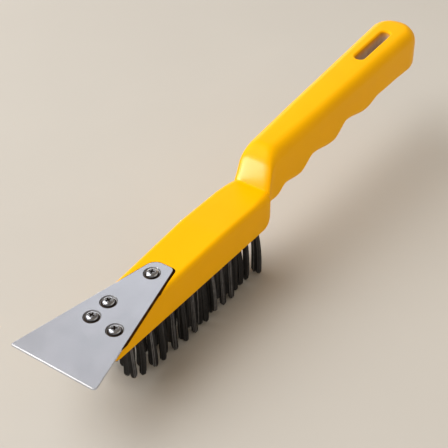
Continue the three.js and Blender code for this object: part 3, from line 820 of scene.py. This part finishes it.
def grain_group():
    """Fine grain all over, and broad patches where a surface is a little duller."""
    tree, entry, leave = shader_group("surface_grain", ["Grain Scale", "Patch Scale"], ["Grain", "Patch"])
    grain = node(tree, "ShaderNodeTexNoise", {"Detail": 3.0, "Roughness": 0.6})
    patch = node(tree, "ShaderNodeTexNoise", {"Detail": 4.0, "Roughness": 0.55, "Distortion": 0.4})
    spread = node(tree, "ShaderNodeMapRange", {"From Min": 0.35, "From Max": 0.65})
    tree.links.new(entry.outputs["Vector"], grain.inputs["Vector"])
    tree.links.new(entry.outputs["Grain Scale"], grain.inputs["Scale"])
    tree.links.new(entry.outputs["Vector"], patch.inputs["Vector"])
    tree.links.new(entry.outputs["Patch Scale"], patch.inputs["Scale"])
    tree.links.new(patch.outputs["Fac"], spread.inputs["Value"])
    tree.links.new(grain.outputs["Fac"], leave.inputs["Grain"])
    tree.links.new(spread.outputs["Result"], leave.inputs["Patch"])
    return tree


def mark_group():
    """Thin handling marks, drawn out along the vector's x, with a mask that is 1 in a mark."""
    tree, entry, leave = shader_group("handling_marks", ["Scale", "Rarity"], ["Mark"])
    squeeze = node(tree, "ShaderNodeMapping", {"Scale": (0.06, 1.0, 1.0), "Rotation": (0, 0, 0.35)})
    streak = node(tree, "ShaderNodeTexNoise", {"Detail": 2.0, "Roughness": 0.5, "Distortion": 0.6})
    above = node(tree, "ShaderNodeMath", operation="SUBTRACT")
    mask = node(tree, "ShaderNodeMapRange", {"From Min": 0.0, "From Max": 0.06})
    tree.links.new(entry.outputs["Vector"], squeeze.inputs["Vector"])
    tree.links.new(squeeze.outputs["Vector"], streak.inputs["Vector"])
    tree.links.new(entry.outputs["Scale"], streak.inputs["Scale"])
    tree.links.new(streak.outputs["Fac"], above.inputs[0])
    tree.links.new(entry.outputs["Rarity"], above.inputs[1])
    tree.links.new(above.outputs["Value"], mask.inputs["Value"])
    tree.links.new(mask.outputs["Result"], leave.inputs["Mark"])
    return tree


def new_material(name, **sockets):
    """Material with a Principled shader, whose plain values are set on its own sockets."""
    material = bpy.data.materials.new(name)
    material.use_nodes = True
    tree = material.node_tree
    shader = tree.nodes["Principled BSDF"]
    for socket, value in sockets.items():
        shader.inputs[socket.replace("_", " ").title().replace("Ior", "IOR")].default_value = value
    return material, tree, shader


def placed_group(tree, group, vector, **values):
    """Places a node group in a material, reading a vector, with its own values."""
    placed = node(tree, "ShaderNodeGroup", node_tree=group)
    tree.links.new(vector, placed.inputs["Vector"])
    for socket, value in values.items():
        placed.inputs[socket.replace("_", " ").title()].default_value = value
    return placed


def blend_colour(tree, share, low, high):
    """Colour between two others, by a value that changes over the surface."""
    mix = node(tree, "ShaderNodeMix", data_type="RGBA")
    mix.inputs[6].default_value = (*low, 1)
    mix.inputs[7].default_value = (*high, 1)
    tree.links.new(share, mix.inputs["Factor"])
    return mix.outputs[2]


def blend_value(tree, share, low, high):
    """Value between two others, by a value that changes over the surface."""
    spread = node(tree, "ShaderNodeMapRange", {"To Min": low, "To Max": high})
    tree.links.new(share, spread.inputs["Value"])
    return spread.outputs["Result"]


def relief(tree, shader, height, depth, strength):
    """Bump of a given depth in metres on a shader's normal."""
    bump = node(tree, "ShaderNodeBump", {"Strength": strength, "Distance": depth})
    tree.links.new(height, bump.inputs["Height"])
    tree.links.new(bump.outputs["Normal"], shader.inputs["Normal"])


def moulded_yellow(grain):
    """Satin moulded plastic with a fine spark-eroded grain and faint cloudy patches."""
    material, tree, shader = new_material("moulded_yellow", ior=1.5, specular_ior_level=0.06)
    spot = node(tree, "ShaderNodeTexCoord").outputs["Object"]
    skin = placed_group(tree, grain, spot, grain_scale=1900.0, patch_scale=38.0)
    colour = blend_colour(tree, skin.outputs["Patch"], (0.93, 0.455, 0.0), (0.96, 0.475, 0.0))
    gloss = blend_value(tree, skin.outputs["Patch"], 0.33, 0.4)
    tree.links.new(colour, shader.inputs["Base Color"])
    tree.links.new(gloss, shader.inputs["Roughness"])
    relief(tree, shader, skin.outputs["Grain"], 0.02 * MM, 0.25)
    return material


def slot_painted_shade(grain):
    """Painted shade on the walls of the hanging slot: a darker yellow at the mouth that turns grey-brown
    further in.
    """
    material, tree, shader = new_material("slot_painted_shade", specular_ior_level=0.05)
    spot = node(tree, "ShaderNodeTexCoord").outputs["Object"]
    skin = placed_group(tree, grain, spot, grain_scale=1500.0, patch_scale=260.0)
    level = node(tree, "ShaderNodeMapping", {"Rotation": (0, HANDLE_TILT, 0)})
    tree.links.new(spot, level.inputs["Vector"])
    height = node(tree, "ShaderNodeSeparateXYZ")
    tree.links.new(level.outputs["Vector"], height.inputs["Vector"])
    mouth = (handle_top(0) - NOSE_X * math.tan(HANDLE_TILT)) * math.cos(HANDLE_TILT)
    deep = node(tree, "ShaderNodeMapRange", {"From Min": mouth - SHADE_START, "From Max": mouth - SHADE_FULL})
    tree.links.new(height.outputs["Z"], deep.inputs["Value"])
    # Darker yellow at the mouth and grey-brown deeper in: painted shade.
    slot_shade_colour = blend_colour(tree, skin.outputs["Patch"], (0.55, 0.45, 0.38), (0.64, 0.54, 0.46))
    colour = node(tree, "ShaderNodeMix", data_type="RGBA")
    colour.inputs[6].default_value = (0.72, 0.34, 0.01, 1)
    tree.links.new(slot_shade_colour, colour.inputs[7])
    tree.links.new(deep.outputs["Result"], colour.inputs["Factor"])
    tree.links.new(colour.outputs[2], shader.inputs["Base Color"])
    tree.links.new(blend_value(tree, skin.outputs["Grain"], 0.7, 0.95), shader.inputs["Roughness"])
    relief(tree, shader, skin.outputs["Grain"], 0.03 * MM, 0.3)
    return material


def seam_painted_shade(grain):
    """Painted shade: dark brown that stands for the shadow in the seam beside the blade and under its left
    edge.
    """
    material, tree, shader = new_material("seam_painted_shade", specular_ior_level=0.05)
    spot = node(tree, "ShaderNodeTexCoord").outputs["Object"]
    skin = placed_group(tree, grain, spot, grain_scale=1500.0, patch_scale=300.0)
    colour = blend_colour(tree, skin.outputs["Patch"], (0.035, 0.012, 0.001), (0.075, 0.028, 0.003))
    tree.links.new(colour, shader.inputs["Base Color"])
    tree.links.new(blend_value(tree, skin.outputs["Grain"], 0.7, 0.95), shader.inputs["Roughness"])
    return material


def recess_painted_shade(grain):
    """Oily dirt packed round the screw heads and in their recesses."""
    # """Painted shade: near-black brown on the dish floor round each screw head and in the cross recesses,
    # where shadow falls."""
    material, tree, shader = new_material("recess_painted_shade", specular_ior_level=0.2)
    spot = node(tree, "ShaderNodeTexCoord").outputs["Object"]
    skin = placed_group(tree, grain, spot, grain_scale=2500.0, patch_scale=600.0)
    colour = blend_colour(tree, skin.outputs["Patch"], (0.022, 0.014, 0.009), (0.05, 0.034, 0.024))
    tree.links.new(colour, shader.inputs["Base Color"])
    tree.links.new(blend_value(tree, skin.outputs["Grain"], 0.5, 0.8), shader.inputs["Roughness"])
    return material


def rolled_steel(grain, marks):
    """Cold-rolled sheet: fine lines along the blade, soft cloudy patches and a few thin marks."""
    material, tree, shader = new_material("rolled_steel", metallic=1.0)
    spot = node(tree, "ShaderNodeTexCoord").outputs["Object"]
    draw_out = node(tree, "ShaderNodeMapping", {"Scale": (0.02, 1.0, 1.0)})
    tree.links.new(spot, draw_out.inputs["Vector"])
    lines = placed_group(tree, grain, draw_out.outputs["Vector"], grain_scale=2600.0, patch_scale=400.0)
    clouds = placed_group(tree, grain, spot, grain_scale=900.0, patch_scale=55.0)
    scuffs = placed_group(tree, marks, spot, scale=520.0, rarity=0.66)
    # The blue tint stands for cool light reflected from above: a painted reflection tint.
    colour = blend_colour(tree, clouds.outputs["Patch"], (0.56, 0.6, 0.69), (0.61, 0.65, 0.75))
    gloss = blend_value(tree, lines.outputs["Grain"], 0.2, 0.3)
    tree.links.new(colour, shader.inputs["Base Color"])
    tree.links.new(gloss, shader.inputs["Roughness"])
    height = node(tree, "ShaderNodeMath", operation="SUBTRACT")
    tree.links.new(lines.outputs["Grain"], height.inputs[0])
    tree.links.new(scuffs.outputs["Mark"], height.inputs[1])
    relief(tree, shader, height.outputs["Value"], 0.008 * MM, 0.15)
    return material


def ground_steel(grain):
    """Ground bevel of the scraping edge, with grinding lines across it."""
    material, tree, shader = new_material("ground_steel", metallic=1.0)
    spot = node(tree, "ShaderNodeTexCoord").outputs["Object"]
    draw_out = node(tree, "ShaderNodeMapping", {"Scale": (0.05, 1.0, 1.0)})
    tree.links.new(spot, draw_out.inputs["Vector"])
    lines = placed_group(tree, grain, draw_out.outputs["Vector"], grain_scale=4200.0, patch_scale=600.0)
    colour = blend_colour(tree, lines.outputs["Patch"], (0.38, 0.38, 0.39), (0.44, 0.44, 0.45))
    gloss = blend_value(tree, lines.outputs["Grain"], 0.4, 0.5)
    tree.links.new(colour, shader.inputs["Base Color"])
    tree.links.new(gloss, shader.inputs["Roughness"])
    relief(tree, shader, lines.outputs["Grain"], 0.006 * MM, 0.15)
    return material


def bright_zinc(grain, marks):
    """Bright plated screw heads with a slightly uneven plating and driver marks."""
    material, tree, shader = new_material("bright_zinc", metallic=1.0)
    spot = node(tree, "ShaderNodeTexCoord").outputs["Object"]
    plating = placed_group(tree, grain, spot, grain_scale=2400.0, patch_scale=420.0)
    scuffs = placed_group(tree, marks, spot, scale=1500.0, rarity=0.6)
    colour = blend_colour(tree, plating.outputs["Patch"], (0.25, 0.26, 0.28), (0.38, 0.39, 0.42))
    gloss = blend_value(tree, plating.outputs["Patch"], 0.16, 0.26)
    tree.links.new(colour, shader.inputs["Base Color"])
    tree.links.new(gloss, shader.inputs["Roughness"])
    relief(tree, shader, scuffs.outputs["Mark"], 0.01 * MM, 0.2)
    return material


def black_wire(grain):
    """Blackened spring wire, with lighter steel-grey wires as a painted highlight along one side of each
    strand.
    """
    material, tree, shader = new_material("black_wire", specular_ior_level=0.3)
    spot = node(tree, "ShaderNodeTexCoord").outputs["Object"]
    skin = placed_group(tree, grain, spot, grain_scale=1600.0, patch_scale=300.0)
    highlight_share = node(tree, "ShaderNodeAttribute", attribute_name="shade").outputs["Fac"]
    painted_gleam = node(tree, "ShaderNodeMath", operation="MULTIPLY")
    tree.links.new(highlight_share, painted_gleam.inputs[0])
    tree.links.new(blend_value(tree, skin.outputs["Patch"], 0.55, 1.0), painted_gleam.inputs[1])
    # Lighter, more metallic where the attribute marks the painted highlight.
    colour = blend_colour(tree, painted_gleam.outputs["Value"], (0.008, 0.008, 0.009), (0.34, 0.34, 0.36))
    metal = blend_value(tree, painted_gleam.outputs["Value"], 0.1, 0.9)
    gloss = blend_value(tree, skin.outputs["Grain"], 0.3, 0.5)
    tree.links.new(colour, shader.inputs["Base Color"])
    tree.links.new(metal, shader.inputs["Metallic"])
    tree.links.new(gloss, shader.inputs["Roughness"])
    return material


def staple_steel(grain):
    """Plain strip steel of the staples that hold the tufts."""
    material, tree, shader = new_material("staple_steel", metallic=1.0)
    spot = node(tree, "ShaderNodeTexCoord").outputs["Object"]
    skin = placed_group(tree, grain, spot, grain_scale=2000.0, patch_scale=500.0)
    colour = blend_colour(tree, skin.outputs["Patch"], (0.3, 0.31, 0.33), (0.42, 0.43, 0.45))
    gloss = blend_value(tree, skin.outputs["Grain"], 0.35, 0.55)
    tree.links.new(colour, shader.inputs["Base Color"])
    tree.links.new(gloss, shader.inputs["Roughness"])
    return material


def pale_floor(grain):
    """Matt warm floor."""
    material, tree, shader = new_material("pale_floor", roughness=0.9, specular_ior_level=0.0)
    spot = node(tree, "ShaderNodeTexCoord").outputs["Object"]
    skin = placed_group(tree, grain, spot, grain_scale=700.0, patch_scale=6.0)
    colour = blend_colour(tree, skin.outputs["Patch"], (0.53, 0.508, 0.468), (0.543, 0.521, 0.48))
    tree.links.new(colour, shader.inputs["Base Color"])
    return material


# Stage. The camera's place and aim were fitted to the view of the brush.

FLOOR_SIZE = 12.0
WALL_LIGHT = 0.45
CEILING_LIGHT = 0.39
NECK_CARD_SPREAD = math.radians(50)
CAMERA_PLACE = Vector((-0.40983, -0.27007, 0.39413))
CAMERA_AIM = Vector((0.01126, 0.029, 0))
CAMERA_LENS = 90.89
SENSOR_WIDTH = 36


def make_floor(material):
    bm = bmesh.new()
    bmesh.ops.create_grid(bm, x_segments=1, y_segments=1, size=FLOOR_SIZE / 2)
    settle("floor", bm, [material])


def make_camera():
    lens = bpy.data.cameras.new("camera")
    lens.lens = CAMERA_LENS
    lens.sensor_width = SENSOR_WIDTH
    camera = bpy.data.objects.new("camera", lens)
    camera.location = CAMERA_PLACE
    camera.rotation_mode = "QUATERNION"
    camera.rotation_quaternion = (CAMERA_AIM - CAMERA_PLACE).to_track_quat("-Z", "Y")
    bpy.context.scene.collection.objects.link(camera)
    bpy.context.scene.camera = camera


def soft_box(name, place, aim, size, watts, colour, only_gloss=False):
    """Soft rectangular lamp at a place, turned to a point. It is never in the picture itself."""
    lamp = bpy.data.lights.new(name, "AREA")
    lamp.shape = "RECTANGLE"
    lamp.size, lamp.size_y = size
    lamp.energy = watts
    lamp.color = colour
    made = bpy.data.objects.new(name, lamp)
    made.location = place
    made.rotation_mode = "QUATERNION"
    made.rotation_quaternion = (Vector(aim) - Vector(place)).to_track_quat("-Z", "Y")
    made.visible_camera = False
    made.visible_diffuse = not only_gloss
    bpy.context.scene.collection.objects.link(made)
    return lamp


def make_light():
    """Pale surroundings, a window on the far left and a few cards.

    The cards that only give gloss put a sheen on the sheet, on the far rims and on the face of the neck.
    """
    world = bpy.data.worlds.new("studio")
    world.use_nodes = True
    tree = world.node_tree
    sky = tree.nodes["Background"]
    height = node(tree, "ShaderNodeSeparateXYZ")
    tree.links.new(node(tree, "ShaderNodeTexCoord").outputs["Generated"], height.inputs["Vector"])
    tree.links.new(blend_value(tree, height.outputs["Z"], WALL_LIGHT, CEILING_LIGHT), sky.inputs["Strength"])
    sky.inputs["Color"].default_value = (1.0, 0.86, 0.71, 1)
    bpy.context.scene.world = world
    bpy.context.scene.view_settings.view_transform = "Standard"
    day = (1.0, 1.0, 1.0)
    cool = (0.94, 0.97, 1.0)
    warm = (1.0, 0.97, 0.93)
    amber = (1.0, 0.9, 0.74)
    soft_box("window", (-0.916, 1.29, 1.56), (0, 0, 0.03), (2.8, 2.3), 82, day)
    soft_box("side_fill", (0.2, -0.9, 0.18), (0, 0, 0.04), (1.2, 0.4), 1.75, amber)
    soft_box("sheet_card", (0.5, 0.34, 0.6), (-0.12, 0, 0.04), (0.6, 0.5), 0.54, cool, only_gloss=True)
    soft_box("rim_card", (1.3, 1.45, 0.3), (-0.1, 0, 0.04), (1.6, 0.5), 8, day, only_gloss=True)
    neck_card = soft_box(
        "neck_card", (-0.122, 0.073, 0.03), (-0.03, 0, 0.06), (0.075, 0.066), 0.165, warm, only_gloss=True
    )
    neck_card.spread = NECK_CARD_SPREAD


grain = grain_group()
marks = mark_group()
make_camera()
seam_shade = seam_painted_shade(grain)
make_body(moulded_yellow(grain), slot_painted_shade(grain), seam_shade)
recess_shade = recess_painted_shade(grain)
make_blade(rolled_steel(grain, marks), ground_steel(grain), recess_shade, seam_shade)
bright = bright_zinc(grain, marks)
for name in SCREWS:
    make_screw(name, bright, recess_shade)
wire = black_wire(grain)
for row in ROW_SPLAY:
    make_row(row, wire)
dress_anchors(staple_steel(grain))
make_floor(pale_floor(grain))
make_light()
